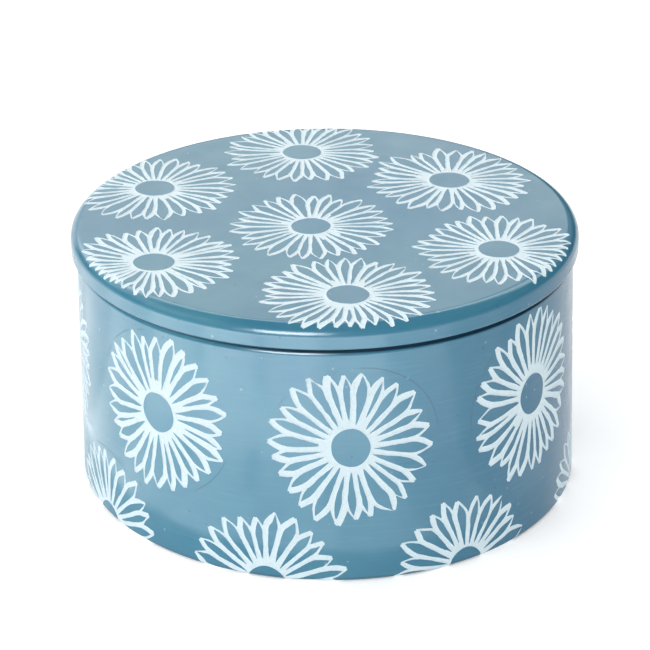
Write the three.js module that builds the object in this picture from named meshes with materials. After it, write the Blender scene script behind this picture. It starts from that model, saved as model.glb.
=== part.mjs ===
// A round lidded box turned from soft stone: a straight-sided bowl and a loose, thick lid that drops into its mouth.
// Millimetres, +Z up. The origin is the centre of the underside, on the axis that both pieces are turned about.

import * as THREE from "three";

// The bowl.
const rimDiameter = 100;
const footFlare = 1.2; // how much further from the axis the foot stands than the rim
const bowlHeight = 49;
const wallThickness = 6;
const floorThickness = 6;
const footEdgeRadius = 1;
const rimOuterEdgeRadius = 1.4;
const rimInnerEdgeRadius = 0.5;
const floorFilletRadius = 3;

// The lid: a plate that rests on the rim, and a spigot under it that finds the mouth.
const lidOverhang = 1;
const lidThickness = 4.9;
const lidTopEdgeRadius = 2.4;
const lidLowerEdgeRadius = 0.5;
const spigotDepth = 4;
const spigotEdgeRadius = 1;

// The fits between the two.
const spigotClearance = 0.6;
const seamGap = 0.3;

// How finely the turned shapes are faceted.
const turnSegments = 96;
const arcSegments = 5;

const quarterTurn = Math.PI / 2;

// What the driving sizes settle.
const rimRadius = rimDiameter / 2;
const footRadius = rimRadius + footFlare;
const mouthRadius = rimRadius - wallThickness;
const lidRadius = rimRadius + lidOverhang;
const lidUnderside = bowlHeight + seamGap;
const lidTop = lidUnderside + lidThickness;
const spigotRadius = mouthRadius - spigotClearance;
const spigotBottom = lidUnderside - spigotDepth;

const dyedStone = new THREE.MeshStandardMaterial({
  name: "dyed_stone",
  color: 0x6c9cb6,
  roughness: 0.45,
  metalness: 0,
});

// Points on a round edge, as (distance from the axis, height), from one angle to another.
function roundEdge(centreRadius, centreHeight, edgeRadius, startAngle, endAngle) {
  const points = [];
  for (let step = 0; step <= arcSegments; step += 1) {
    const angle = startAngle + ((endAngle - startAngle) * step) / arcSegments;
    points.push(
      new THREE.Vector2(
        centreRadius + edgeRadius * Math.cos(angle),
        centreHeight + edgeRadius * Math.sin(angle),
      ),
    );
  }
  return points;
}

// A solid turned about +Z from a profile that starts and ends on the axis, walked with the stone on its left.
function turnedPiece(name, profile, material) {
  const geometry = new THREE.LatheGeometry(profile, turnSegments);
  geometry.rotateX(quarterTurn);
  const piece = new THREE.Mesh(geometry, material);
  piece.name = name;
  return piece;
}

// The underside, the slightly flared outer wall, the rim, the mouth's wall and the floor inside.
function bowlProfile() {
  return [
    new THREE.Vector2(0, 0),
    ...roundEdge(footRadius - footEdgeRadius, footEdgeRadius, footEdgeRadius, -quarterTurn, 0),
    ...roundEdge(
      rimRadius - rimOuterEdgeRadius,
      bowlHeight - rimOuterEdgeRadius,
      rimOuterEdgeRadius,
      0,
      quarterTurn,
    ),
    ...roundEdge(
      mouthRadius + rimInnerEdgeRadius,
      bowlHeight - rimInnerEdgeRadius,
      rimInnerEdgeRadius,
      quarterTurn,
      2 * quarterTurn,
    ),
    ...roundEdge(
      mouthRadius - floorFilletRadius,
      floorThickness + floorFilletRadius,
      floorFilletRadius,
      0,
      -quarterTurn,
    ),
    new THREE.Vector2(0, floorThickness),
  ];
}

// The spigot's face and side, the plate's underside, its lower edge, its rounded top edge and the flat top.
function lidProfile() {
  return [
    new THREE.Vector2(0, spigotBottom),
    ...roundEdge(
      spigotRadius - spigotEdgeRadius,
      spigotBottom + spigotEdgeRadius,
      spigotEdgeRadius,
      -quarterTurn,
      0,
    ),
    new THREE.Vector2(spigotRadius, lidUnderside),
    ...roundEdge(
      lidRadius - lidLowerEdgeRadius,
      lidUnderside + lidLowerEdgeRadius,
      lidLowerEdgeRadius,
      -quarterTurn,
      0,
    ),
    ...roundEdge(
      lidRadius - lidTopEdgeRadius,
      lidTop - lidTopEdgeRadius,
      lidTopEdgeRadius,
      0,
      quarterTurn,
    ),
    new THREE.Vector2(0, lidTop),
  ];
}

const box = new THREE.Group();
box.add(turnedPiece("base", bowlProfile(), dyedStone));
box.add(turnedPiece("lid", lidProfile(), dyedStone));

export default box;
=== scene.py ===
"""A round lidded box of blue-dyed soapstone, etched with daisies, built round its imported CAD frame.

Both pieces are turned. Their dyed outside is unrolled flat, and the daisies are drawn on it as strokes of
a small chisel. The strokes become real grooves: their outlines are edges of the mesh, their floors lie
below the surface, and their faces are bare stone. Lengths are millimetres until a mesh is made.
"""

import math

import bpy
import numpy as np
from mathutils import Matrix, Vector
from mathutils.geometry import delaunay_2d_cdt


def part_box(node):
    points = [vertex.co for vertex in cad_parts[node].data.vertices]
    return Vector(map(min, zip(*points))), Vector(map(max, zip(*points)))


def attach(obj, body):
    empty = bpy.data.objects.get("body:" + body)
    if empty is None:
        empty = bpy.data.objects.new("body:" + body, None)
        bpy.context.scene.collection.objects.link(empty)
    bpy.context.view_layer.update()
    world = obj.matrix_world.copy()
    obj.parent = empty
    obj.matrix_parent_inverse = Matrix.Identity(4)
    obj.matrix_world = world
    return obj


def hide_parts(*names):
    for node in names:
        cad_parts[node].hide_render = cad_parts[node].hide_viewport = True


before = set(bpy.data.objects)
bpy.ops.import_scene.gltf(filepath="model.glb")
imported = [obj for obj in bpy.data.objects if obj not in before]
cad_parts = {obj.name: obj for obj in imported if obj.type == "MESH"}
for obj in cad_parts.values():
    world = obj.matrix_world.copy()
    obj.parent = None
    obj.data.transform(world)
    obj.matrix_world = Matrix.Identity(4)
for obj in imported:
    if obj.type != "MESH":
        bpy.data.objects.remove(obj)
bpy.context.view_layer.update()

MM = 0.001
TAU = 2 * math.pi
TINY = 1e-6
CORNER_INSET = 1e-5

# Which material a face has.
DYED, ETCHED, SCRIBED, BARE = range(4)

# The turned shapes: their edge radii, and how finely they are built.
FOOT_EDGE = 1.0
RIM_EDGE = 1.4
MOUTH_EDGE = 0.5
FLOOR_FILLET = 3.0
LID_TOP_EDGE = 2.4
LID_LOWER_EDGE = 0.5
SPIGOT_EDGE = 1.0
RING_POINTS = 288
EDGE_STEP = 0.42
LINE_STEP = 8.0

# The hand-turned box is out of true: how far it leans sideways for each millimetre up, and by what share
# it is taller for each millimetre to the right.
LEAN = -0.019
TOP_SLOPE = 0.00017

# The mesh of the dyed outside: a loose grid of points, kept clear of the strokes, and shorter edges on the
# strokes where the outside is round.
SKIN_STEP = 1.9
SKIN_JITTER = 0.25
RING_CLEARANCE = 0.2
GROUND_CLEARANCE = 0.3
LONGEST_EDGE = 2.0
LONGEST_ON_LID_EDGE = 0.5
LONGEST_ON_FOOT = 0.45

# The etching. Distances to the strokes are kept on a grid, and are cut off at FIELD_REACH. The floor of a
# groove starts BEVEL inside its outline.
GRID = 0.1
FIELD_REACH = 0.8
GROOVE_DEPTH = 0.15
FLOOR_ROUGHNESS = 0.02
BEVEL = 0.09
OUTLINE_TOLERANCE = 0.02
FEWEST_CROSSINGS = 6
# Bumps along the strokes' edges: how far across, and how high.
EDGE_WOBBLE = ((1.7, 0.04), (0.6, 0.022))
# A daisy's disc, and the cleared ring round it, as shares of its radius, and the lobes on the disc's edge.
DISC_SHARE = 0.244
RING_SHARE = 0.04
DISC_WOBBLE = ((2, 0.012), (5, 0.009))
# How heavily the chisel was held.
LID_HAND = 0.8
WALL_HAND = 1.0

# One side of a petal: share of its length, and share of half of the space that it has round the disc.
PETAL_SIDE = ((0.27, 0.88), (0.45, 0.92), (0.62, 0.96), (0.77, 0.90), (0.88, 0.56), (1.0, 0.02))
SHOULDER = 3
# Half widths of the stroke there, as shares of the radius, on a petal's broad side and its fine side.
BROAD = (0.026, 0.029, 0.031, 0.034, 0.037, 0.034)
FINE = (0.025, 0.027, 0.026, 0.021, 0.015, 0.011)
CURVE_STEPS = 3

# How far the hand strays, as a range or a standard deviation.
NOTCH_STRAY = 0.11
LENGTH_SHARE = 0.98
LENGTH_STRAY = 0.04
LENGTH_LIMITS = (-1.8, 1.4)
SHORTENING = (0.95, 1)
SWIRL_STRAY = 0.1
LEAN_STRAY = 0.16
LEAN_STARTS = 0.6
WEIGHTS = (0.8, 1.17)
ROOT_WEIGHTS = (0.85, 1.6)
SHOULDER_SHIFTS = (-0.04, 0.035)
THIN_TIP = 0.45
THIN_TIP_CHANCE = 0.25

# Short extra strokes at the foot of the petals: how many, where they run, and their half widths.
SPARE_STROKES = (3, 7)
SPARE_START = 0.3
SPARE_ENDS = (0.36, 0.44)
SPARE_WIDTHS = (0.035, 0.018)

# Chips where the dye has come away.
CHIP_SIZES = (0.02, 0.06)
CHIP_DRIFT = 0.1
CHIP_TAPER = 0.7

# Daisies on the lid: x and y of the centre, radius, petals, and where the first notch points, in degrees.
LID_DAISIES = (
    (-2.7, -4.9, 16.2, 29, 84),
    (-5.0, 35.0, 16.8, 30, 92),
    (-35.2, 15.1, 16.7, 30, 85),
    (25.9, 19.0, 17.1, 30, 90),
    (-32.8, -22.1, 16.4, 33, 88),
    (34.0, -16.4, 16.4, 31, 90),
    (4.5, -37.0, 16.6, 32, 87),
)
LID_SEED = 11
LID_CHIPS = 4
# How far over the lid's rounded edge the petals run.
BRINK_SHARE = 0.55

# Daisies on the wall: degrees round from the front, height, radius, petals, first notch.
UPPER_DAISIES = (
    (-39.3, 30.3, 16.9, 28, 84),
    (5.4, 28.8, 16.3, 26, 84),
    (52.6, 30.1, 17.3, 29, 88),
    (98.0, 30.0, 16.6, 28, 90),
    (143.0, 29.4, 16.4, 27, 86),
    (188.0, 30.4, 16.8, 29, 91),
    (232.0, 29.6, 16.2, 28, 83),
    (275.0, 30.0, 16.4, 29, 88),
)
# The lower row runs off the foot.
LOWER_DAISIES = (
    (-58.9, -1.0, 16.3, 27, 86),
    (-13.2, -1.0, 15.2, 26, 90),
    (31.7, -0.4, 15.2, 26, 88),
    (80.0, -0.8, 15.0, 27, 92),
    (125.0, -0.4, 15.2, 26, 84),
    (170.0, -1.0, 15.6, 28, 90),
    (213.0, -0.6, 15.0, 26, 87),
    (257.0, -0.8, 15.4, 27, 93),
)
# Each row of the wall, and how narrow its daisies are.
WALL_ROWS = ((UPPER_DAISIES, 0.94), (LOWER_DAISIES, 1.0))
WALL_SEED = 23
WALL_CHIPS = 5

# Compass lines on the wall: degrees round, height, radius, and the arc's start and end in degrees.
SCRIBED_ARCS = (
    (5.2, 29.2, 15.6, 96, 150),
    (7.4, 29.7, 15.5, 4, 92),
    (-39.3, 30.3, 16.8, 100, 160),
    (-39.3, 30.3, 16.5, -60, -20),
    (-58.9, -1.0, 16.3, 60, 110),
    (52.8, 29.8, 17.4, 130, 190),
)
SCRIBE_HALF_WIDTH = 0.065
SCRIBE_DEPTH = 0.03
SCRIBE_STEP = 0.9
SCRIBE_CLEARANCE = 0.35

# Places on the OFBake chart: the middle and radius of each disc, and the gap between the bowl's strips.
LID_OUTSIDE_CHART = ((0.385, 0.385), 0.38)
LID_UNDER_CHART = ((0.8, 0.8), 0.19)
BOWL_UNDER_CHART = ((0.15, 0.85), 0.14)
BOWL_INSIDE_CHART = ((0.45, 0.85), 0.14)
STRIP_MARGIN = 2.5

# The middle of a patch on the lid where the blue is richer.
BLUE_PATCH = (9.0, 6.0, 54.0)
# Painted shade in the seam under the lid: the heights between which it comes and goes, how far from the axis
# it starts, how far to the side it thickens, and how thick it gets.
SEAM_PAINTED_SHADE_FROM = (48.15, 48.4)
SEAM_PAINTED_SHADE_TO = (49.45, 49.6)
SEAM_PAINTED_SHADE_EDGE = (48.6, 49.0)
SEAM_PAINTED_SHADE_SIDE = (-32.0, -6.0)
SEAM_PAINTED_SHADE_AMOUNT = (0.25, 0.92)

# The camera: pitch, yaw and roll in degrees, focal length on a 36 mm sensor, and place in metres.
CAMERA_TURN = (-25.91, -0.11, 0.28)
CAMERA_LENS = 128.08
CAMERA_PLACE = (0, -0.4280, 0.2378)

# The floor's glow grows from one strength to the other between two distances.
FLOOR_REACH = 1.6
FLOOR_SEGMENTS = 96
FLOOR_GLOW = (0.29, 0.7)
FLOOR_GLOW_REACH = (0.2, 1.2)
ROOM_LIGHT = 0.63
# Soft lights round the box: degrees round from the front, degrees up, and radiance.
LIGHTS_FACE = Vector((0, 0, 0.03))
SOFTBOX_DISTANCE = 1.0
SOFTBOX_SIZE = (0.6, 0.4)
SOFTBOXES = {
    "left": (-90, 35, 2.4),
    "key": (-45, 35, 2.15),
    "fill": (0, 35, 1.75),
    "behind": (180, 35, 1.4),
    "top": (0, 88, 1.1),
}
# Cards that only show as sheen on the wax: degrees round and up, distance, width and height, radiance.
CARDS = {
    "window": (-15, 19, 0.9, (0.42, 0.32), 24.0),
    "window_left": (-75, 32, 0.9, (0.5, 0.4), 1.1),
    "side_left": (-126, 34, 1.0, (0.85, 0.5), 2.0),
    "backdrop_low_left": (-155, 6, 1.2, (0.7, 0.34), 1.5),
    "backdrop_left": (-162, 26, 1.2, (1.2, 0.36), 2.0),
    "backdrop_right": (150, 26, 1.2, (0.62, 0.36), 0.5),
    "backdrop_high": (180, 50, 1.2, (1.9, 0.36), 4.4),
}
# The table round the box shines most in one direction, in degrees, and fades to either side of it.
SHINE_TOWARDS = -28
SHINE_FADE = 143
SHINE_CUT_OFF = 0.85
SHINE_STEP = 24
SHINE_HEIGHT = 0.0015
# Rings of cards on the table: how near and far in metres, and the radiance.
SHINE_RINGS = ((0.06, 0.1, 2.8), (0.1, 0.155, 5.1), (0.155, 0.26, 7.6))


# The turned shapes.


def cad_hit(node, start, direction):
    """Where a ray first meets a CAD node."""
    found, place, _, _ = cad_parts[node].ray_cast(Vector(start) * MM, Vector(direction))
    if not found:
        raise RuntimeError(f"no surface of {node} from {start}")
    return place / MM


def measure():
    """The sizes of the two CAD pieces."""
    rim_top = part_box("base")[1].z / MM
    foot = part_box("base")[1].x / MM
    lid_low, lid_high = (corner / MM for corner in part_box("lid"))
    outside = 2 * foot
    middle = rim_top / 2
    spigot_side = lid_low.z + 2 * SPIGOT_EDGE
    return {
        "foot": foot,
        "rim_top": rim_top,
        "rim": cad_hit("base", (outside, 0, rim_top - RIM_EDGE), (-1, 0, 0)).x,
        "mouth": cad_hit("base", (0, 0, middle), (1, 0, 0)).x,
        "floor": cad_hit("base", (0, 0, middle), (0, 0, -1)).z,
        "lid": lid_high.x,
        "lid_top": lid_high.z,
        "lid_under": cad_hit("lid", (lid_high.x - 2 * RIM_EDGE, 0, 0), (0, 0, 1)).z,
        "spigot": cad_hit("lid", (outside, 0, spigot_side), (-1, 0, 0)).x,
        "spigot_low": lid_low.z,
    }


class Profile:
    """A turned outline of lines and round edges, as (distance from the axis, height).

    It is walked by its length, with the stone on its left.
    """

    def __init__(self, start):
        self.spans = []
        self.length = 0.0
        self.end = np.array(start, float)

    def add(self, length, place):
        """A span. Place gives points and outward directions, for how far along it they are, from 0 to 1."""
        self.spans.append((self.length, self.length + length, place))
        self.length += length
        self.end = place(np.ones(1))[0][0]

    def line_to(self, end):
        start = self.end
        along = np.array(end, float) - start
        length = float(np.hypot(*along))
        normal = np.array([along[1], -along[0]]) / length
        self.add(length, lambda t: (start + np.outer(t, along), np.tile(normal, (len(t), 1))))

    def arc(self, centre, radius, start, end, facing=1):
        """A line to a round edge, and the edge, between angles in degrees. A fillet has facing -1."""

        def place(t):
            angle = np.radians(start + (end - start) * t)
            spoke = np.stack([np.cos(angle), np.sin(angle)], axis=1)
            return np.array(centre) + radius * spoke, facing * spoke

        self.line_to(place(np.zeros(1))[0][0])
        self.add(radius * math.radians(abs(end - start)), place)

    def marks(self):
        """The lengths at which each span starts, and the whole length."""
        return [low for low, _, _ in self.spans] + [self.length]

    def stations(self, low, high):
        """Lengths at which the shape gets a ring of points: few on a line, more on a round edge."""
        made = [low]
        for start, end, place in self.spans:
            start = max(start, low)
            end = min(end, high)
            if end - start > TINY:
                is_round = np.ptp(place(np.array([0.0, 1.0]))[1], axis=0).any()
                pieces = math.ceil((end - start) / (EDGE_STEP if is_round else LINE_STEP))
                made += np.linspace(start, end, pieces + 1)[1:].tolist()
        return made

    def at(self, walked):
        """Points and outward directions at lengths along the outline."""
        walked = np.clip(np.atleast_1d(np.asarray(walked, float)), 0, self.length)
        points = np.zeros((len(walked), 2))
        normals = np.zeros((len(walked), 2))
        for low, high, place in self.spans:
            inside = (walked >= low) & (walked <= high)
            if inside.any():
                points[inside], normals[inside] = place((walked[inside] - low) / (high - low))
        return points, normals


def bowl_profile(size):
    """The underside, the wall, the rim, the mouth's wall and the floor inside."""
    top = size["rim_top"]
    mouth = size["mouth"]
    floor = size["floor"]
    profile = Profile((0, 0))
    profile.arc((size["foot"] - FOOT_EDGE, FOOT_EDGE), FOOT_EDGE, -90, 0)
    profile.arc((size["rim"] - RIM_EDGE, top - RIM_EDGE), RIM_EDGE, 0, 90)
    profile.arc((mouth + MOUTH_EDGE, top - MOUTH_EDGE), MOUTH_EDGE, 90, 180)
    profile.arc((mouth - FLOOR_FILLET, floor + FLOOR_FILLET), FLOOR_FILLET, 0, -90, facing=-1)
    profile.line_to((0, floor))
    return profile


def lid_profile(size):
    """The spigot's face and side, the plate's underside, lower edge, side, rounded top edge and flat top."""
    low = size["spigot_low"]
    under = size["lid_under"]
    top = size["lid_top"]
    profile = Profile((0, low))
    profile.arc((size["spigot"] - SPIGOT_EDGE, low + SPIGOT_EDGE), SPIGOT_EDGE, -90, 0)
    profile.line_to((size["spigot"], under))
    profile.arc((size["lid"] - LID_LOWER_EDGE, under + LID_LOWER_EDGE), LID_LOWER_EDGE, -90, 0)
    profile.arc((size["lid"] - LID_TOP_EDGE, top - LID_TOP_EDGE), LID_TOP_EDGE, 0, 90)
    profile.line_to((0, top))
    return profile


# The etching, drawn flat.


def stretched(values, count, closed):
    """The rows of a coarse grid drawn out softly to count columns."""
    place = np.linspace(0, values.shape[1] - 1, count, endpoint=not closed)
    low = np.minimum(place.astype(int), values.shape[1] - 2)
    part = place - low
    part = part * part * (3 - 2 * part)
    return values[:, low] * (1 - part) + values[:, low + 1] * part


def soft_noise(rng, shape, spacing, closed):
    """Random relief of about unit height on the grid, with bumps about spacing across."""
    rows, columns = shape
    coarse = rng.normal(size=[max(3, round(count * GRID / spacing)) + 1 for count in shape])
    if closed:
        coarse[:, -1] = coarse[:, 0]
    return stretched(stretched(coarse, columns, closed).T, rows, False).T


class Field:
    """How far each point of a flat area is from the nearest stroke's edge: negative inside a stroke.

    A closed field joins up sideways.
    """

    def __init__(self, low, high, closed, seed):
        self.origin = np.array(low, float)
        self.extent = np.array(high, float) - self.origin
        cells = np.round(self.extent / GRID).astype(int)
        self.step = self.extent / cells
        self.closed = closed
        self.columns = int(cells[0]) + (0 if closed else 1)
        self.rows = int(cells[1]) + 1
        self.value = np.full((self.rows, self.columns), FIELD_REACH)
        self.rng = np.random.default_rng(seed)

    def window(self, low, high):
        """Where to find the values between two corners, and their coordinates."""
        first = np.floor((low - self.origin) / self.step).astype(int)
        last = np.ceil((high - self.origin) / self.step).astype(int) + 1
        rows = np.arange(max(first[1], 0), max(min(last[1], self.rows), 0))
        columns = np.arange(first[0], last[0])
        if not self.closed:
            columns = columns[(columns >= 0) & (columns < self.columns)]
        x = self.origin[0] + columns * self.step[0]
        y = self.origin[1] + rows * self.step[1]
        return np.ix_(rows, columns % self.columns), x[None, :], y[:, None]

    def cut(self, low, high, distance):
        """Lowers the field to a distance function between two corners."""
        where, x, y = self.window(low, high)
        if x.size and y.size:
            self.value[where] = np.minimum(self.value[where], distance(x, y))

    def segment(self, a, b, width_a, width_b, flat_end):
        along = b - a
        length = max(math.hypot(*along), TINY)
        along = along / length

        def distance(x, y):
            dx = x - a[0]
            dy = y - a[1]
            walked = dx * along[0] + dy * along[1]
            held = np.clip(walked, 0, None if flat_end else length)
            width = width_a + (width_b - width_a) * np.clip(walked / length, 0, 1)
            beside = np.hypot(dx - held * along[0], dy - held * along[1]) - width
            return np.maximum(beside, walked - length) if flat_end else beside

        reach = max(width_a, width_b) + FIELD_REACH
        self.cut(np.minimum(a, b) - reach, np.maximum(a, b) + reach, distance)

    def stroke(self, points, widths, flat_end=False):
        """One pass of the chisel along points, with half widths, which ends round or square."""
        last = len(points) - 2
        for k in range(last + 1):
            self.segment(points[k], points[k + 1], widths[k], widths[k + 1], flat_end and k == last)

    def scrape(self, daisy, radius):
        """A round patch cleared of dye."""
        reach = radius + FIELD_REACH
        self.cut(daisy.centre - reach, daisy.centre + reach, lambda x, y: daisy.away(x, y) - radius)

    def leave(self, daisy, radius):
        """A round patch left standing, not quite true."""
        reach = radius + 1
        where, x, y = self.window(daisy.centre - reach, daisy.centre + reach)
        turn = np.arctan2(y - daisy.centre[1], x - daisy.centre[0])
        edge = np.ones_like(turn)
        for (lobes, height), phase in zip(DISC_WOBBLE, self.rng.uniform(0, TAU, len(DISC_WOBBLE))):
            edge += height * np.sin(lobes * turn + phase)
        self.value[where] = np.maximum(self.value[where], radius * edge - daisy.away(x, y))

    def roughen(self):
        for spacing, amount in EDGE_WOBBLE:
            self.value += amount * soft_noise(self.rng, self.value.shape, spacing, self.closed)

    def limit(self, distance_outside):
        """Ends the strokes where distance_outside, a function of x and y, rises above zero."""
        x = self.origin[0] + np.arange(self.columns) * self.step[0]
        y = self.origin[1] + np.arange(self.rows) * self.step[1]
        self.value = np.maximum(self.value, distance_outside(x[None, :], y[:, None]))

    def at(self, points):
        """The field's value at any points."""
        place = (points - self.origin) / self.step
        if self.closed:
            place[:, 0] %= self.columns
        else:
            place[:, 0] = np.clip(place[:, 0], 0, self.columns - 1.001)
        place[:, 1] = np.clip(place[:, 1], 0, self.rows - 1.001)
        column, row = place.astype(int).T
        fx, fy = (place - place.astype(int)).T
        column = column % self.columns
        beside = (column + 1) % self.columns
        near = self.value[row, column] * (1 - fx) + self.value[row, beside] * fx
        far = self.value[row + 1, column] * (1 - fx) + self.value[row + 1, beside] * fx
        return near * (1 - fy) + far * fy


# Which edges of a grid cell an outline crosses, for each set of corners inside it.
# Corners count 1, 2, 4, 8 round from the lower left, and edges are lower, right, upper, left.
CROSSINGS = {
    1: [(3, 0)],
    2: [(0, 1)],
    3: [(3, 1)],
    4: [(1, 2)],
    5: [(3, 2), (1, 0)],
    6: [(0, 2)],
    7: [(3, 2)],
    8: [(2, 3)],
    9: [(2, 0)],
    10: [(0, 3), (2, 1)],
    11: [(2, 1)],
    12: [(1, 3)],
    13: [(1, 0)],
    14: [(0, 3)],
}


def crossed_edges(field, level):
    """Pairs of grid edges that the outline at a level joins, one pair for each cell that it crosses."""
    columns = field.columns
    upright = field.rows * columns
    inside = (field.value < level).astype(int)
    beside = np.roll(inside, -1, axis=1)
    case = inside[:-1] + 2 * beside[:-1] + 4 * beside[1:] + 8 * inside[1:]
    if not field.closed:
        case = case[:, :-1]
    joined = []
    for number, pairs in CROSSINGS.items():
        row, column = np.nonzero(case == number)
        here = row * columns + column
        right = row * columns + (column + 1) % columns
        edges = (here, upright + right, here + columns, upright + here)
        joined += [np.stack([edges[a], edges[b]]) for a, b in pairs]
    return np.concatenate(joined, axis=1)


def crossing_places(field, level, edges):
    """Where an outline crosses grid edges: level ones are numbered first, then upright ones."""
    upright = edges >= field.rows * field.columns
    row, column = np.divmod(np.where(upright, edges - field.rows * field.columns, edges), field.columns)
    here = field.value[row, column]
    above = field.value[np.minimum(row + 1, field.rows - 1), column]
    right = field.value[row, (column + 1) % field.columns]
    part = (level - here) / (np.where(upright, above, right) - here)
    x = field.origin[0] + (column + np.where(upright, 0, part)) * field.step[0]
    y = field.origin[1] + (row + np.where(upright, part, 0)) * field.step[1]
    return np.stack([x, y], axis=1)


def outlines(field, level):
    """The closed outlines of the field at a level, each an array of points."""
    first, second = crossed_edges(field, level)
    count = len(first)
    used, numbers = np.unique(np.concatenate([first, second]), return_inverse=True)
    partners = np.concatenate([numbers[count:], numbers[:count]])
    beside = partners[np.argsort(numbers, kind="stable")].reshape(-1, 2).tolist()
    places = crossing_places(field, level, used)
    seen = [False] * len(used)
    loops = []
    for start in range(len(used)):
        chain = []
        current = start
        while not seen[current]:
            seen[current] = True
            chain.append(current)
            a, b = beside[current]
            current = b if seen[a] else a
        if len(chain) > FEWEST_CROSSINGS:
            loops.append(unwrapped(places[chain], field))
    return loops


def unwrapped(loop, field):
    """A loop with no jump where it crosses the seam of a closed field."""
    if field.closed:
        jumps = np.round(np.diff(loop[:, 0]) / field.extent[0])
        loop[1:, 0] -= field.extent[0] * np.cumsum(jumps)
    return loop


def off_line(points, start, end):
    """How far points are from the line between two others."""
    along = end - start
    length = math.hypot(*along)
    beside = points - start
    if length < 1e-9:
        return np.hypot(*beside.T)
    return np.abs(beside[:, 0] * along[1] - beside[:, 1] * along[0]) / length


def simplified(loop):
    """A closed outline with only the points that its shape needs."""
    closed = np.vstack([loop, loop[:1]])
    far = int(np.argmax(np.hypot(*(loop - loop[0]).T)))
    keep = np.zeros(len(closed), bool)
    keep[[0, far]] = True
    work = [(0, far), (far, len(loop))]
    while work:
        low, high = work.pop()
        if high - low < 2:
            continue
        off = off_line(closed[low + 1 : high], closed[low], closed[high])
        worst = int(np.argmax(off))
        if off[worst] > OUTLINE_TOLERANCE:
            split = low + 1 + worst
            keep[split] = True
            work += [(low, split), (split, high)]
    return closed[keep]


def divided(loop, longest):
    """A closed outline whose edges are no longer than longest, a function of a point, allows."""
    points = []
    for a, b in zip(loop, np.roll(loop, -1, axis=0)):
        pieces = max(1, math.ceil(math.hypot(*(b - a)) / longest((a + b) / 2)))
        points += [a + (b - a) * k / pieces for k in range(pieces)]
    return np.array(points)


def soft_path(points):
    """A curve through points, each of which holds a place and a half width."""
    ends = np.vstack([2 * points[0] - points[1], points, 2 * points[-1] - points[-2]])
    made = []
    for a, b, c, d in zip(ends, ends[1:], ends[2:], ends[3:]):
        for t in np.arange(CURVE_STEPS) / CURVE_STEPS:
            linear = (c - a) * t
            square = (2 * a - 5 * b + 4 * c - d) * t**2
            cube = (3 * b - a - 3 * c + d) * t**3
            made.append((2 * b + linear + square + cube) / 2)
    made.append(points[-1])
    return np.array(made)


class Daisy:
    """One flower's place and size. Squash narrows it sideways."""

    def __init__(self, centre, radius, petals, first_notch, squash=1.0):
        self.centre = np.array(centre, float)
        self.radius = radius
        self.petals = petals
        self.first_notch = math.radians(first_notch)
        self.squash = squash

    def at(self, angle, reach):
        return self.centre + reach * np.array([self.squash * math.cos(angle), math.sin(angle)])

    def away(self, x, y):
        """How far places lie from the centre, with the squash taken out."""
        return np.hypot((x - self.centre[0]) / self.squash, y - self.centre[1])


def draw_petal(field, daisy, length, left, right, swirl, hand):
    """Both sides of a petal, from disc to tip: the broad side ends square, and the fine side runs out."""
    rng = field.rng
    middle = (left + right) / 2
    half = (left - right) / 2
    lean = (swirl + rng.normal(0, LEAN_STRAY)) * half
    weight = hand * rng.uniform(*WEIGHTS)
    root = rng.uniform(*ROOT_WEIGHTS)
    shoulder = rng.uniform(*SHOULDER_SHIFTS)
    tip_width = THIN_TIP if rng.random() < THIN_TIP_CHANCE else 1.0
    for side, widths in ((1, BROAD), (-1, FINE)):
        points = []
        for n, ((out, share), width) in enumerate(zip(PETAL_SIDE, widths)):
            leaning = lean * max(0, (out - LEAN_STARTS) / (1 - LEAN_STARTS))
            reach = length * (out + (shoulder if n == SHOULDER else 0))
            points.append([*daisy.at(middle + side * share * half + leaning, reach), width])
        points = np.array(points)
        points[:, 2] *= daisy.radius * weight
        points[0, 2] *= root
        points[-1, 2] *= tip_width
        path = soft_path(points)
        field.stroke(path[:, :2], path[:, 2], flat_end=side > 0)


def draw_daisy(field, hand, daisy, room):
    """A cleared patch and the petals round it, each no longer than there is room."""
    rng = field.rng
    petals = daisy.petals
    radius = daisy.radius
    field.scrape(daisy, (DISC_SHARE + RING_SHARE) * radius)
    strays = rng.normal(0, NOTCH_STRAY, petals)
    notches = (np.arange(petals) + strays) * TAU / petals + daisy.first_notch
    longer = LENGTH_STRAY * np.clip(rng.normal(size=petals), *LENGTH_LIMITS)
    lengths = LENGTH_SHARE * radius * (1 + longer)
    swirl = rng.normal(0, SWIRL_STRAY)
    for k in range(petals):
        right = notches[k]
        left = notches[(k + 1) % petals] + (TAU if k == petals - 1 else 0)
        longest = room(daisy, (left + right) / 2) * rng.uniform(*SHORTENING)
        draw_petal(field, daisy, min(lengths[k], longest), left, right, swirl, hand)
    for _ in range(rng.integers(*SPARE_STROKES)):
        angle = rng.uniform(0, TAU)
        ends = [daisy.at(angle, out * radius) for out in (SPARE_START, rng.uniform(*SPARE_ENDS))]
        field.stroke(np.array(ends), [width * radius for width in SPARE_WIDTHS])


def draw_daisies(field, hand, daisies, room):
    """Cuts every daisy, roughens the edges, and leaves their discs standing clean."""
    for daisy in daisies:
        draw_daisy(field, hand, daisy, room)
    field.roughen()
    for daisy in daisies:
        field.leave(daisy, DISC_SHARE * daisy.radius)


def any_length(daisy, angle):
    return math.inf


def room_within(circle):
    """How long a petal can be inside a circle about the middle of the lid."""

    def room(daisy, angle):
        along = daisy.centre @ np.array([math.cos(angle), math.sin(angle)])
        return math.sqrt(along**2 - daisy.centre @ daisy.centre + circle**2) - along

    return room


def scatter_chips(field, low, high, count):
    for _ in range(count):
        place = field.rng.uniform(low, high)
        size = field.rng.uniform(*CHIP_SIZES)
        drift = field.rng.normal(0, CHIP_DRIFT, 2)
        field.stroke(np.array([place, place + drift]), [size, CHIP_TAPER * size])


# The skin: flat points joined into triangles and laid on the shape.


def ring_angles():
    return np.arange(RING_POINTS) * TAU / RING_POINTS


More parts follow.
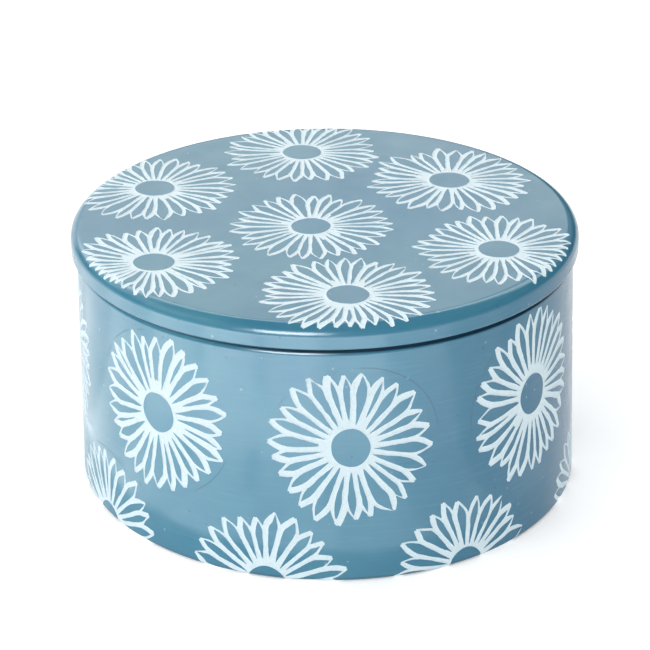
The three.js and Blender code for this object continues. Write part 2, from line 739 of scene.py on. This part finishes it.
class Disc:
    """The lid's outside unrolled into a disc, with x and y as they lie from above."""

    facing = 1

    def __init__(self, profile):
        self.whole = profile.length

    def ring(self, walked):
        reach = self.whole - walked
        return reach * np.stack([np.sin(ring_angles()), -np.cos(ring_angles())], axis=1)

    def to_plane(self, flat):
        return flat

    def from_plane(self, plane):
        return plane

    def on_shape(self, plane):
        """The angle round from the front, and the length walked along the profile."""
        return np.arctan2(plane[:, 0], -plane[:, 1]), self.whole - np.hypot(*plane.T)


class Band:
    """The bowl's outside unrolled into a band, with x round from the front and y walked upwards.

    Its ends are joined by laying it out as a ring, which keeps every angle but faces inwards.
    """

    facing = -1

    def __init__(self, radius, middle):
        self.radius = radius
        self.middle = middle

    def ring(self, walked):
        return np.stack([ring_angles() * self.radius, np.full(RING_POINTS, walked)], axis=1)

    def to_plane(self, flat):
        angle = flat[:, 0] / self.radius
        reach = self.radius * np.exp((flat[:, 1] - self.middle) / self.radius)
        return np.stack([reach * np.cos(angle), reach * np.sin(angle)], axis=1)

    def from_plane(self, plane):
        angle, walked = self.on_shape(plane)
        return np.stack([angle * self.radius, walked], axis=1)

    def on_shape(self, plane):
        reach = np.hypot(*plane.T)
        walked = self.middle + self.radius * np.log(reach / self.radius)
        return np.arctan2(plane[:, 1], plane[:, 0]), walked


class Skin:
    """The dyed outside of one piece while it is flat: points of several kinds, joined into triangles."""

    GROUND, OUTLINE, FLOOR, SCRIBE = range(4)

    def __init__(self, unrolled):
        self.unrolled = unrolled
        self.points = []
        self.kinds = []
        self.edges = []
        self.count = 0

    def add(self, points, kind, chain=None):
        """Adds points. A chain joins them in turn, and is open or closed."""
        ids = np.arange(self.count, self.count + len(points))
        self.points.append(np.asarray(points, float))
        self.kinds.append(np.full(len(points), kind))
        self.count += len(points)
        if chain == "closed":
            self.edges.append(np.stack([ids, np.roll(ids, -1)], axis=1))
        if chain == "open":
            self.edges.append(np.stack([ids[:-1], ids[1:]], axis=1))
        return ids

    def add_clear(self, field, points, clearance):
        """Adds the points that lie clear of every stroke."""
        self.add(points[field.at(points) > clearance], self.GROUND)

    def join(self, field, hole=()):
        """Joins the points into triangles that keep every chain, and leaves a ring's hole open."""
        points = np.vstack(self.points)
        kinds = np.concatenate(self.kinds)
        plane = [Vector(p) for p in self.unrolled.to_plane(points).tolist()]
        found = delaunay_2d_cdt(plane, np.vstack(self.edges).tolist(), [], 0, TINY, True)
        place = np.array([tuple(p) for p in found[0]])
        self.source = np.array([ids[0] if ids else -1 for ids in found[3]])
        faces = np.array([tuple(f) for f in found[2]])
        faces = faces[~np.isin(self.source[faces], hole).all(axis=1)]
        a, b, c = (place[faces[:, k]] for k in range(3))
        turn = (b[:, 0] - a[:, 0]) * (c[:, 1] - a[:, 1]) - (b[:, 1] - a[:, 1]) * (c[:, 0] - a[:, 0])
        self.faces = np.where((turn < 0)[:, None], faces[:, ::-1], faces)
        self.kind = np.where(self.source >= 0, kinds[self.source], self.OUTLINE)
        self.angle, self.walked = self.unrolled.on_shape(place)
        self.finish = self.finishes(field, self.unrolled.from_plane((a + b + c) / 3))

    def finishes(self, field, centres):
        """Which faces are dyed, etched or scribed."""
        kinds = self.kind[self.faces]
        scribed = (kinds == self.SCRIBE).any(axis=1)
        ground = (kinds == self.GROUND).any(axis=1)
        etched = (kinds == self.FLOOR).any(axis=1) | (~ground & ~scribed & (field.at(centres) < 0))
        return np.where(scribed, SCRIBED, np.where(etched, ETCHED, DYED))

    def ring_points(self, ids):
        """Where the points of a boundary ring are among the joined points."""
        order = np.argsort(self.source)
        return order[np.searchsorted(self.source[order], ids)]


def etch(skin, field, longest):
    """Adds the outlines of every stroke, and the edge of its floor inside it."""
    for level, kind in ((0.0, Skin.OUTLINE), (-BEVEL, Skin.FLOOR)):
        for loop in outlines(field, level):
            loop = simplified(loop)
            if len(loop) > 2:
                skin.add(divided(loop, longest), kind, "closed")


def scribe(skin, field, centre, radius, start, end):
    """A hairline arc from a pair of compasses, with gaps where it meets an etched stroke."""
    steps = round(math.radians(end - start) * radius / SCRIBE_STEP)
    run = []
    for angle in np.radians(np.linspace(start, end, steps)):
        spoke = np.array([math.cos(angle), math.sin(angle)])
        place = np.array(centre) + radius * spoke
        if field.at(place[None])[0] > SCRIBE_CLEARANCE:
            run.append((place, spoke))
        else:
            add_scribed_run(skin, run)
            run = []
    add_scribed_run(skin, run)


def add_scribed_run(skin, run):
    """One unbroken length of a hairline, which tapers at both ends."""
    if len(run) < 3:
        return
    middle, spokes = (np.array(part) for part in zip(*run))
    steps = np.arange(len(run))
    taper = np.minimum(steps, steps[::-1]) / 2 + 0.4
    across = spokes * (SCRIBE_HALF_WIDTH * np.minimum(1, taper))[:, None]
    skin.add(middle[1:-1], Skin.SCRIBE, "open")
    skin.add(middle + across, Skin.OUTLINE, "open")
    skin.add(middle - across, Skin.OUTLINE, "open")


def depths(skin, field):
    """How deep each skin point lies below the turned surface."""
    wander = field.rng.normal(0, FLOOR_ROUGHNESS, len(skin.kind))
    depth = np.where(skin.kind == Skin.FLOOR, GROOVE_DEPTH + wander, 0.0)
    return np.where(skin.kind == Skin.SCRIBE, SCRIBE_DEPTH, depth)


# Meshes.


def polar_chart(place, origin, furthest):
    """Unrolls faces into a disc at a place on the chart, by how far each corner is walked from origin."""
    centre, radius = place

    def chart(angle, walked):
        reach = np.abs(walked - origin) * radius / abs(furthest - origin)
        return np.stack([centre[0] + reach * np.cos(angle), centre[1] + reach * np.sin(angle)], axis=-1)

    return chart


def strip_chart(around, low, high):
    """Unrolls faces into four upright strips, two by two, of a quarter turn each."""
    width = around / 4 + STRIP_MARGIN
    height = high - low + STRIP_MARGIN
    scale = 1 / (2 * width + STRIP_MARGIN)

    def chart(angle, walked):
        first = angle[:, :1]
        near = np.mod(angle - first + math.pi, TAU) - math.pi
        middle = np.mod(first + near.mean(axis=1, keepdims=True), TAU)
        strip = np.minimum((middle / TAU * 4).astype(int), 3)
        along = np.mod(angle - middle + math.pi, TAU) - math.pi + middle - strip * TAU / 4
        u = STRIP_MARGIN + (strip % 2) * width + along / TAU * around
        v = STRIP_MARGIN + (strip // 2) * height + walked - low
        return np.stack([u, v], axis=-1) * scale

    return chart


class Shell:
    """One piece's mesh being gathered: points, triangles, and each one's finish, directions and chart."""

    def __init__(self, profile):
        self.profile = profile
        self.points = []
        self.count = 0
        self.faces = []
        self.finish = []
        self.normals = []
        self.charts = []

    def turned(self, angle, walked, depth=0.0):
        """Points on the turned shape or sunk below it, and the directions that the shape faces there."""
        section, facing = self.profile.at(walked)
        section = section - facing * np.reshape(depth, (-1, 1))
        spoke = np.stack([np.sin(angle), -np.cos(angle)], axis=1)
        place = np.column_stack([spoke * section[:, :1], section[:, 1]])
        return place, np.column_stack([spoke * facing[:, :1], facing[:, 1]])

    def add_points(self, places):
        self.points.append(places)
        self.count += len(places)
        return np.arange(self.count - len(places), self.count)

    def add_pole(self, walked):
        """A ring of points that are all one point on the axis."""
        return np.repeat(self.add_points(self.turned(np.zeros(1), walked)[0]), RING_POINTS)

    def add_ring(self, walked):
        return self.add_points(self.turned(ring_angles(), np.full(RING_POINTS, walked))[0])

    def add_faces(self, faces, finish, normals, charts):
        self.faces.append(faces)
        self.finish.append(np.broadcast_to(finish, len(faces)))
        self.normals.append(normals)
        self.charts.append(charts)

    def add_skin(self, skin, field, chart):
        """Lays a skin on the turned shape. A cut face is shaded by its own slope, a dyed one by the shape."""
        places, facing = self.turned(skin.angle, skin.walked, depths(skin, field))
        ids = self.add_points(places)
        normals = facing[skin.faces]
        a, b, c = (places[skin.faces[:, k]] for k in range(3))
        slopes = np.cross(b - a, c - a) * skin.unrolled.facing
        for finish in (ETCHED, SCRIBED):
            cut = skin.finish == finish
            total = np.zeros_like(places)
            for k in range(3):
                np.add.at(total, skin.faces[cut, k], slopes[cut])
            total /= np.maximum(np.linalg.norm(total, axis=1, keepdims=True), 1e-12)
            normals[cut] = total[skin.faces[cut]]
        corners = chart(skin.angle[skin.faces], skin.walked[skin.faces])
        order = slice(None, None, skin.unrolled.facing)
        self.add_faces(ids[skin.faces][:, order], skin.finish, normals[:, order], corners[:, order])
        return ids

    def add_rings(self, stations, finish, chart, first=None, last=None):
        """Turns the outline between stations. The first or the last ring of points may be there already."""
        rings = [first]
        for walked in stations[1:-1]:
            rings.append(self.add_ring(walked))
        if last is not None:
            rings.append(last)
        elif stations[-1] >= self.profile.length - TINY:
            rings.append(self.add_pole(stations[-1]))
        else:
            rings.append(self.add_ring(stations[-1]))
        if first is None:
            rings[0] = self.add_pole(0.0)
        for low, high, lower, upper in zip(stations, stations[1:], rings, rings[1:]):
            self.add_band(low, high, lower, upper, finish, chart)
        return rings[-1]

    def add_band(self, low, high, lower, upper, finish, chart):
        """The faces between two rings of points, each shaded by its own side of a sharp corner."""
        start = ring_angles()
        end = start + TAU / RING_POINTS
        ids = {"a": lower, "b": np.roll(lower, -1), "c": np.roll(upper, -1), "d": upper}
        corner = {}
        at_corners = zip("abcd", (start, end, end, start), (low, low, high, high), (1, 1, -1, -1))
        for name, angle, walked, side in at_corners:
            facing = self.turned(angle, np.full(RING_POINTS, walked + side * CORNER_INSET))[1]
            corner[name] = (angle, np.full(RING_POINTS, walked), facing)
        for trio in ("abc", "acd"):
            faces = np.stack([ids[name] for name in trio], axis=1)
            real = (faces != np.roll(faces, 1, axis=1)).all(axis=1)
            if real.any():
                angle, walked, normal = (np.stack([corner[n][k] for n in trio], axis=1) for k in range(3))
                self.add_faces(faces[real], finish, normal[real], chart(angle[real], walked[real]))

    def build(self, name, materials):
        """The Blender object, in metres and a little out of true."""
        places = np.vstack(self.points)
        places[:, 0] += LEAN * places[:, 2]
        places[:, 2] *= 1 + TOP_SLOPE * places[:, 0]
        faces = np.vstack(self.faces)
        mesh = bpy.data.meshes.new(name)
        mesh.from_pydata((places * MM).tolist(), [], faces.tolist())
        for material in materials:
            mesh.materials.append(material)
        mesh.polygons.foreach_set("material_index", np.concatenate(self.finish).astype(np.int32))
        mesh.polygons.foreach_set("use_smooth", np.ones(len(faces), bool))
        layer = mesh.uv_layers.new(name="OFBake")
        layer.uv.foreach_set("vector", np.concatenate(self.charts).astype(np.float32).ravel())
        mesh.normals_split_custom_set(np.concatenate(self.normals).reshape(-1, 3).tolist())
        return linked(name, mesh)


def linked(name, data):
    made = bpy.data.objects.new(name, data)
    bpy.context.collection.objects.link(made)
    return made


# The two pieces.


def ground_points(low, high):
    """A loose triangular grid of points."""
    rng = np.random.default_rng(5)
    made = []
    for n, y in enumerate(np.arange(low[1], high[1], SKIN_STEP * 0.87)):
        x = np.arange(low[0] + (n % 2) * SKIN_STEP / 2, high[0], SKIN_STEP)
        made.append(np.stack([x, np.full(len(x), y)], axis=1))
    made = np.vstack(made)
    return made + rng.uniform(-SKIN_JITTER, SKIN_JITTER, made.shape) * SKIN_STEP


def make_lid(size, materials):
    profile = lid_profile(size)
    _, _, _, _, lower_edge, edge, rounding, flat, whole = profile.marks()
    disc = Disc(profile)
    flat_reach = whole - flat
    corner = np.full(2, whole - edge + 1)

    field = Field(-corner, corner, closed=False, seed=LID_SEED)
    scatter_chips(field, -corner, corner, LID_CHIPS)
    daisies = [Daisy((x, y), *rest) for x, y, *rest in LID_DAISIES]
    brink = flat_reach + BRINK_SHARE * (flat - rounding)
    draw_daisies(field, LID_HAND, daisies, room_within(brink))
    field.limit(lambda x, y: np.hypot(x, y) - brink - 0.5)

    skin = Skin(disc)
    skin.add(disc.ring(edge), Skin.GROUND, "closed")
    for walked in profile.stations(edge, flat)[1:]:
        skin.add_clear(field, disc.ring(walked), RING_CLEARANCE)
    ground = ground_points(-corner, corner)
    skin.add_clear(field, ground[np.hypot(*ground.T) < flat_reach - 0.6], GROUND_CLEARANCE)
    etch(skin, field, lambda p: LONGEST_ON_LID_EDGE if math.hypot(*p) > flat_reach - 0.5 else LONGEST_EDGE)
    skin.join(field)

    shell = Shell(profile)
    top = polar_chart(LID_OUTSIDE_CHART, whole, lower_edge)
    under = polar_chart(LID_UNDER_CHART, 0.0, lower_edge)
    ids = shell.add_skin(skin, field, top)
    rim = ids[skin.ring_points(np.arange(RING_POINTS))]
    turn = shell.add_rings(profile.stations(0.0, lower_edge), BARE, under)
    shell.add_rings(profile.stations(lower_edge, edge), DYED, top, first=turn, last=rim)
    return shell.build("lid_etched", materials)


def make_bowl(size, materials):
    profile = bowl_profile(size)
    _, foot, wall, rim, _, mouth, *_ = profile.marks()
    radius = (size["foot"] + size["rim"]) / 2
    band = Band(radius, (foot + rim) / 2)
    around = TAU * radius

    def on_wall(degrees, height):
        return math.radians(degrees) * radius, wall + height - FOOT_EDGE

    field = Field((0, foot - 2), (around, rim + 2), closed=True, seed=WALL_SEED)
    scatter_chips(field, (0, foot), (around, rim), WALL_CHIPS)
    daisies = [
        Daisy(on_wall(degrees, height), *rest, squash)
        for row, squash in WALL_ROWS
        for degrees, height, *rest in row
    ]
    draw_daisies(field, WALL_HAND, daisies, any_length)
    field.limit(lambda x, y: np.maximum(foot - y, y - rim) + 0.3)

    skin = Skin(band)
    low_ring = skin.add(band.ring(foot), Skin.GROUND, "closed")
    high_ring = skin.add(band.ring(rim), Skin.GROUND, "closed")
    for walked in profile.stations(foot, wall)[1:]:
        skin.add_clear(field, band.ring(walked), RING_CLEARANCE)
    ground = ground_points((0, wall + 1), (around - SKIN_STEP / 2, rim - 0.8))
    skin.add_clear(field, ground, GROUND_CLEARANCE)
    etch(skin, field, lambda p: LONGEST_ON_FOOT if p[1] < wall + 0.5 else LONGEST_EDGE)
    for degrees, height, *arc in SCRIBED_ARCS:
        scribe(skin, field, on_wall(degrees, height), *arc)
    skin.join(field, hole=low_ring)

    shell = Shell(profile)
    strips = strip_chart(around, foot, mouth)
    under = polar_chart(BOWL_UNDER_CHART, 0.0, foot)
    inside = polar_chart(BOWL_INSIDE_CHART, profile.length, mouth)
    ids = shell.add_skin(skin, field, strips)
    low_ring, high_ring = (ids[skin.ring_points(ring)] for ring in (low_ring, high_ring))
    shell.add_rings(profile.stations(0.0, foot), BARE, under, last=low_ring)
    lip = shell.add_rings(profile.stations(rim, mouth), DYED, strips, first=high_ring)
    shell.add_rings(profile.stations(mouth, profile.length), BARE, inside, first=lip)
    return shell.build("bowl_etched", materials)


# Materials.


class Shader:
    """A procedural material being wired, on coordinates that stay with the piece."""

    def __init__(self, name):
        self.material = bpy.data.materials.new(name)
        self.material.use_nodes = True
        self.nodes = self.material.node_tree.nodes
        self.surface = self.nodes["Principled BSDF"]
        self.place = self.nodes.new("ShaderNodeTexCoord").outputs["Object"]

    def set(self, socket, value):
        """Plugs in an output, or sets a plain value."""
        if isinstance(value, bpy.types.NodeSocket):
            self.material.node_tree.links.new(value, socket)
        else:
            socket.default_value = value

    def node(self, kind, settings=None, **inputs):
        node = self.nodes.new(kind)
        for key, value in (settings or {}).items():
            setattr(node, key, value)
        for key, value in inputs.items():
            self.set(node.inputs[key.replace("_", " ")], value)
        return node

    def axis(self, name):
        return self.node("ShaderNodeSeparateXYZ", Vector=self.place).outputs[name]

    def stretched(self, x, y, z):
        return self.node("ShaderNodeMapping", Vector=self.place, Scale=(x, y, z)).outputs["Vector"]

    def away(self, centre=(0, 0, 0), place=None):
        """How far places lie from a centre, in metres."""
        node = self.node("ShaderNodeVectorMath", {"operation": "DISTANCE"}, Vector=place or self.place)
        node.inputs[1].default_value = centre
        return node.outputs["Value"]

    def noise(self, size, detail, roughness=0.5, place=None, distortion=0.0):
        """Soft noise with features about size millimetres across."""
        node = self.node("ShaderNodeTexNoise", Vector=place or self.place, Scale=1 / (size * MM))
        node.inputs["Detail"].default_value = detail
        node.inputs["Roughness"].default_value = roughness
        node.inputs["Distortion"].default_value = distortion
        return node.outputs["Fac"]

    def span(self, value, low, high, to_low=0.0, to_high=1.0):
        """Maps a value's range from low to high onto another, and holds it there."""
        ranges = {"From_Min": low, "From_Max": high, "To_Min": to_low, "To_Max": to_high}
        return self.node("ShaderNodeMapRange", {"clamp": True}, Value=value, **ranges).outputs["Result"]

    def math(self, operation, first, *others):
        for other in others:
            node = self.node("ShaderNodeMath", {"operation": operation})
            self.set(node.inputs[0], first)
            self.set(node.inputs[1], other)
            first = node.outputs["Value"]
        return first

    def mix(self, amount, a, b):
        node = self.node("ShaderNodeMix", {"data_type": "RGBA"}, Factor=amount)
        self.set(node.inputs[6], a)
        self.set(node.inputs[7], b)
        return node.outputs[2]

    def bump(self, height, strength, distance, under=None):
        node = self.node("ShaderNodeBump", Height=height, Strength=strength, Distance=distance * MM)
        if under is not None:
            self.set(node.inputs["Normal"], under)
        return node.outputs["Normal"]

    def finish(self, colour, roughness, normal=None, specular=0.5):
        self.set(self.surface.inputs["Base Color"], colour)
        self.set(self.surface.inputs["Roughness"], roughness)
        self.surface.inputs["Specular IOR Level"].default_value = specular
        if normal is not None:
            self.set(self.surface.inputs["Normal"], normal)
        return self.material


def rgb(*levels):
    """A colour given in the usual 0 to 255 levels of a screen."""
    shares = [level / 255 for level in levels]
    return (*(s / 12.92 if s <= 0.04045 else ((s + 0.055) / 1.055) ** 2.4 for s in shares), 1.0)


def seam_painted_shade(shader):
    """Painted shade: a thin dark ring in the corner between the lid's underside and the rim's round edge."""
    height = shader.axis("Z")
    above = shader.span(height, SEAM_PAINTED_SHADE_FROM[0] * MM, SEAM_PAINTED_SHADE_FROM[1] * MM)
    below = shader.span(height, SEAM_PAINTED_SHADE_TO[0] * MM, SEAM_PAINTED_SHADE_TO[1] * MM, 1, 0)
    away = shader.away(place=shader.stretched(1, 1, 0))
    outside = shader.span(away, SEAM_PAINTED_SHADE_EDGE[0] * MM, SEAM_PAINTED_SHADE_EDGE[1] * MM)
    side = [x * MM for x in SEAM_PAINTED_SHADE_SIDE]
    thick = shader.span(shader.axis("X"), *side, *SEAM_PAINTED_SHADE_AMOUNT)
    return shader.math("MULTIPLY", above, below, outside, thick)


def add_grains(shader, colour):
    """Small dark and pale grains in the stone."""
    grains = shader.node("ShaderNodeTexVoronoi", Vector=shader.place, Scale=900.0).outputs
    spread = shader.node("ShaderNodeSeparateColor", Color=grains["Color"]).outputs
    speck = shader.span(grains["Distance"], 0.16, 0.3, 1, 0)
    dark = shader.math("MULTIPLY", speck, shader.span(spread["Red"], 0.97, 0.975, 0, 0.35))
    pale = shader.math("MULTIPLY", speck, shader.span(spread["Green"], 0.98, 0.985, 0, 0.25))
    colour = shader.mix(dark, colour, rgb(30, 58, 76))
    return shader.mix(pale, colour, rgb(190, 210, 220))


def dyed_colour(shader):
    """Uneven blue dye: clouds, streaks, grains, a patch; painted shade at right, seam and foot."""
    clouds = shader.span(shader.noise(22, 4, 0.55, distortion=0.4), 0.3, 0.7)
    colour = shader.mix(clouds, rgb(54, 118, 145), rgb(74, 136, 154))
    drift = shader.span(shader.noise(45, 2), 0.35, 0.65, 0, 0.5)
    colour = shader.mix(drift, colour, rgb(55, 115, 147))
    # Painted shade: the box's right side is coloured darker, less so on the lid's top.
    right_side_painted_shade = shader.span(shader.axis("X"), 8 * MM, 48 * MM, 0, 0.75)
    below_top = shader.span(shader.axis("Z"), 52 * MM, 54 * MM, 1, 0.15)
    colour = shader.mix(shader.math("MULTIPLY", right_side_painted_shade, below_top), colour, rgb(34, 94, 126))
    streaks = shader.span(shader.noise(9, 3, 0.6, place=shader.stretched(1, 1, 14)), 0.52, 0.75, 0, 0.12)
    colour = shader.mix(streaks, colour, rgb(104, 158, 180))
    colour = add_grains(shader, colour)
    patch = shader.span(shader.away(Vector(BLUE_PATCH) * MM), 5 * MM, 34 * MM, 0.85, 0)
    colour = shader.mix(patch, colour, rgb(22, 114, 146))
    # Painted contact shadow: the colour darkens along the foot's lowest edge, where it meets the floor.
    foot_painted_shadow = shader.span(shader.axis("Z"), 0.2 * MM, 1.2 * MM, 0.7, 0)
    colour = shader.mix(foot_painted_shadow, colour, rgb(26, 58, 80))
    # Painted shade: dark colour in the seam where the lid shades the rim.
    return shader.mix(seam_painted_shade(shader), colour, rgb(16, 38, 56))


def dyed_stone():
    """Dyed stone under wax, with a fine grain and faint marks of the turning tool."""
    shader = Shader("dyed_stone_waxed")
    roughness = shader.span(shader.noise(6, 4, 0.6), 0.3, 0.75, 0.16, 0.26)
    grain = shader.bump(shader.noise(0.5, 4, 0.6), 0.25, 0.02)
    turning = shader.noise(3.5, 2, place=shader.stretched(0.3, 0.3, 5))
    return shader.finish(dyed_colour(shader), roughness, shader.bump(turning, 0.16, 0.03, grain), 0.42)


def etched_stone(name, dull, bright):
    """Stone laid bare by the chisel: powdery, with a little of the dye left in it."""
    shader = Shader(name)
    powder = shader.span(shader.noise(0.35, 5, 0.7), 0.35, 0.7)
    colour = shader.mix(powder, dull, bright)
    left_dye = shader.span(shader.noise(1.1, 4, 0.65, distortion=0.6), 0.56, 0.74, 0, 0.3)
    colour = shader.mix(left_dye, colour, rgb(168, 194, 210))
    scratches = shader.bump(shader.noise(0.22, 4, 0.7), 0.5, 0.06)
    return shader.finish(colour, 0.9, scratches, specular=0.1)


def scribed_line():
    shader = Shader("scribed_line")
    colour = shader.mix(shader.noise(0.6, 3), rgb(28, 62, 88), rgb(66, 110, 138))
    return shader.finish(colour, 0.55)


def bare_stone(dye_edge, dye_depth):
    """Bare soapstone, with dye that crept in above dye_edge, a height in millimetres."""
    shader = Shader(f"bare_stone_{round(dye_edge * 10)}")
    clouds = shader.span(shader.noise(14, 5, 0.6, distortion=0.8), 0.3, 0.7)
    colour = shader.mix(clouds, rgb(186, 182, 172), rgb(208, 205, 197))
    veins = shader.span(shader.noise(7, 6, 0.7, distortion=2.0), 0.48, 0.52, 0, 0.12)
    colour = shader.mix(veins, colour, rgb(150, 150, 142))
    ragged = shader.span(shader.noise(3, 4, 0.6), 0.3, 0.7, 0, 2.2 * MM)
    height = shader.math("ADD", shader.axis("Z"), ragged)
    crept = shader.span(height, dye_edge * MM, (dye_edge + dye_depth) * MM, 0, 0.85)
    colour = shader.mix(crept, colour, rgb(104, 150, 174))
    rings = shader.bump(shader.noise(1.2, 2, place=shader.stretched(0.15, 0.15, 3)), 0.3, 0.05)
    return shader.finish(colour, 0.6, rings, specular=0.35)


# Camera, floor and light.


def add_camera():
    """A long lens at the height of a standing viewer's hand, turned a touch to one side."""
    pitch, yaw, roll = (math.radians(angle) for angle in CAMERA_TURN)
    forward = Vector((math.sin(yaw) * math.cos(pitch), math.cos(yaw) * math.cos(pitch), math.sin(pitch)))
    level = forward.cross(Vector((0, 0, 1))).normalized()
    upright = level.cross(forward)
    right = math.cos(roll) * level + math.sin(roll) * upright
    up = math.cos(roll) * upright - math.sin(roll) * level
    lens = bpy.data.cameras.new("camera")
    lens.sensor_width = 36
    lens.lens = CAMERA_LENS
    lens.clip_start = 0.01
    camera = linked("camera", lens)
    turn = Matrix((right, up, -forward)).transposed().to_4x4()
    camera.matrix_world = Matrix.Translation(CAMERA_PLACE) @ turn
    bpy.context.scene.camera = camera


def add_floor():
    """A round sheet of white paper, lit through a little from below as a photographer's table is."""
    turns = np.arange(FLOOR_SEGMENTS) * TAU / FLOOR_SEGMENTS
    points = [(FLOOR_REACH * math.cos(turn), FLOOR_REACH * math.sin(turn), 0.0) for turn in turns]
    mesh = bpy.data.meshes.new("floor")
    mesh.from_pydata(points, [], [tuple(range(FLOOR_SEGMENTS))])
    shader = Shader("floor_paper")
    shader.surface.inputs["Emission Color"].default_value = (1, 1, 1, 1)
    glow = shader.span(shader.away(), *FLOOR_GLOW_REACH, *FLOOR_GLOW)
    shader.set(shader.surface.inputs["Emission Strength"], glow)
    mesh.materials.append(shader.finish(rgb(250, 250, 250), 0.9, specular=0.2))
    linked("floor", mesh)


def add_area(name, matrix, size, radiance):
    """A rectangular soft light that the camera doesn't see."""
    light = bpy.data.lights.new(name, "AREA")
    light.shape = "RECTANGLE"
    light.size, light.size_y = size
    light.energy = radiance * math.pi * size[0] * size[1]
    lamp = linked(name, light)
    lamp.matrix_world = matrix
    lamp.visible_camera = False
    return lamp


def add_studio_light(name, azimuth, elevation, distance, size, radiance):
    """A soft light that faces the middle of the box."""
    azimuth = math.radians(azimuth)
    elevation = math.radians(elevation)
    flat = distance * math.cos(elevation)
    offset = Vector((flat * math.sin(azimuth), -flat * math.cos(azimuth), distance * math.sin(elevation)))
    turn = (-offset).to_track_quat("-Z", "Y").to_matrix().to_4x4()
    return add_area(name, Matrix.Translation(LIGHTS_FACE + offset) @ turn, size, radiance)


def add_table_card(azimuth, near, far, radiance):
    """A card that lies on the table, facing up, and only shows as sheen on the wax."""
    middle = (near + far) / 2
    width = 2 * middle * math.tan(math.radians(SHINE_STEP / 2))
    turn = math.radians(azimuth)
    place = Vector((middle * math.sin(turn), -middle * math.cos(turn), SHINE_HEIGHT))
    matrix = Matrix.Translation(place) @ Matrix.Rotation(turn, 4, "Z") @ Matrix.Rotation(math.pi, 4, "X")
    card = add_area(f"table_{azimuth % 360}_{near}", matrix, (width, far - near), radiance)
    card.visible_diffuse = False


def add_table_shine():
    """Cards in a fan round the front of the box: the bright paper that the wax reflects."""
    for azimuth in range(-180, 180, SHINE_STEP):
        away = (azimuth - SHINE_TOWARDS) / SHINE_FADE
        if abs(away) < SHINE_CUT_OFF:
            fade = math.cos(away * math.pi / 2) ** 4
            for near, far, radiance in SHINE_RINGS:
                add_table_card(azimuth, near, far, radiance * fade)


def add_room():
    """Even white light from all round, which is white to the camera and doesn't show as sheen."""
    world = bpy.data.worlds.new("studio")
    world.use_nodes = True
    nodes = world.node_tree.nodes
    links = world.node_tree.links
    seen = nodes.new("ShaderNodeLightPath").outputs["Is Camera Ray"]
    strength = nodes.new("ShaderNodeMix")
    links.new(seen, strength.inputs["Factor"])
    strength.inputs["A"].default_value = ROOM_LIGHT
    strength.inputs["B"].default_value = 1.0
    background = nodes["Background"].inputs
    links.new(strength.outputs["Result"], background["Strength"])
    background["Color"].default_value = (1, 1, 1, 1)
    bpy.context.scene.world = world
    world.cycles_visibility.glossy = False
    bpy.context.scene.view_settings.view_transform = "Standard"


def add_lights():
    add_room()
    for name, (azimuth, elevation, radiance) in SOFTBOXES.items():
        box = add_studio_light(name, azimuth, elevation, SOFTBOX_DISTANCE, SOFTBOX_SIZE, radiance)
        box.visible_glossy = False
    for name, settings in CARDS.items():
        add_studio_light(name, *settings).visible_diffuse = False
    add_table_shine()


def declare(piece, node):
    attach(piece, node)
    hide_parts(node)


def main():
    add_camera()
    add_floor()
    add_lights()
    size = measure()
    dyed = dyed_stone()
    scribed = scribed_line()
    # One etched stone in lit and shaded copies: painted darker as shade on the wall, painted lighter as light
    # on the lid.
    wall_etching_painted_shade = etched_stone("etched_wall_painted_shade", rgb(204, 223, 231), rgb(223, 237, 242))
    lid_etching_painted_light = etched_stone("etched_lid_painted_light", rgb(218, 236, 243), rgb(236, 249, 253))
    bowl_bare = bare_stone(size["rim_top"] - 2.5, 2.0)
    lid_bare = bare_stone(size["lid_under"] - 0.6, 0.5)
    declare(make_bowl(size, [dyed, wall_etching_painted_shade, scribed, bowl_bare]), "base")
    declare(make_lid(size, [dyed, lid_etching_painted_light, scribed, lid_bare]), "lid")


main()
